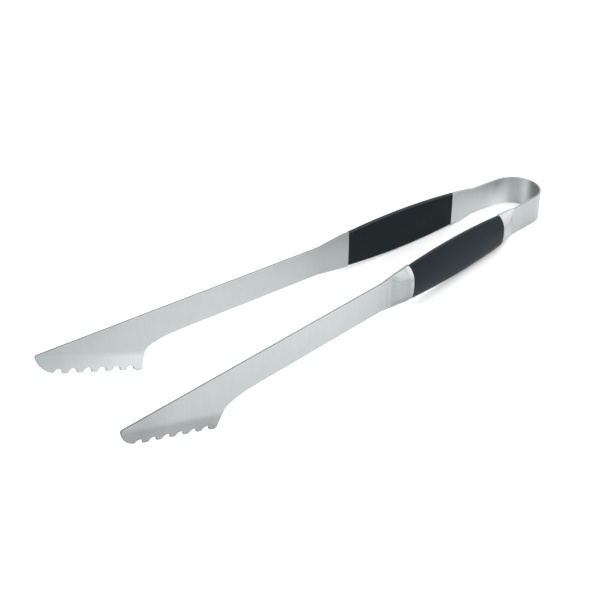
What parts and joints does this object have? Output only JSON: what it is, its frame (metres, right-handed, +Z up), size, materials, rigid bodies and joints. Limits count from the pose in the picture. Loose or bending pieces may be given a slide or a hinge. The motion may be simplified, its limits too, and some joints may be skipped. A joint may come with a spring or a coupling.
{
  "type": "spring loaded kitchen tongs",
  "caption": "Long kitchen tongs: scalloped steel jaws on flat blades, domed black grips between steel bolsters, and a bent spring bow that holds the arms open.",
  "frame": {"origin": "middle of the length and width, on the surface that the tongs lie on", "axes": "+X along the tongs from the jaws to the spring bow, +Y to the left arm, +Z up, roughly along the width of the steel strip"},
  "size_m": [0.3996, 0.0936, 0.0411],
  "materials": {
    "spring_steel": "satin spring steel, brushed across the strip",
    "blade_steel": "satin stainless steel, brushed across the blade",
    "bolster_steel": "finely polished stainless steel with soft facets",
    "grip_plastic": "satin black moulded plastic, very fine texture",
    "rivet_steel": "plain steel rivets, hidden in the grips"
  },
  "bodies": {
    "bow": {"spring_bow": "spring_steel"},
    "left_side": {"left_arm": "blade_steel", "left_front_bolster": "bolster_steel", "left_rear_bolster": "bolster_steel", "left_outer_grip": "grip_plastic", "left_inner_grip": "grip_plastic", "left_rivets": "rivet_steel"},
    "right_side": {"right_arm": "blade_steel", "right_front_bolster": "bolster_steel", "right_rear_bolster": "bolster_steel", "right_outer_grip": "grip_plastic", "right_inner_grip": "grip_plastic", "right_rivets": "rivet_steel"}
  },
  "joints": [
    {"name": "left_flex", "type": "hinge", "parent": "bow", "child": "left_side", "pos_m": [0.19222, 0.01161, 0.01108], "axis": [0.0493, 0, 0.9988], "range_deg": [0, 6.25], "stiffness_Nm_per_rad": 8, "deforming": ["spring_bow"]},
    {"name": "right_flex", "type": "hinge", "parent": "bow", "child": "right_side", "pos_m": [0.19222, -0.01161, 0.01108], "axis": [-0.0493, 0, -0.9988], "range_deg": [0, 6.25], "stiffness_Nm_per_rad": 8, "deforming": ["spring_bow"]}
  ],
  "couplings": [
    {"joint": "right_flex", "follows": "left_flex", "ratio": 1}
  ]
}
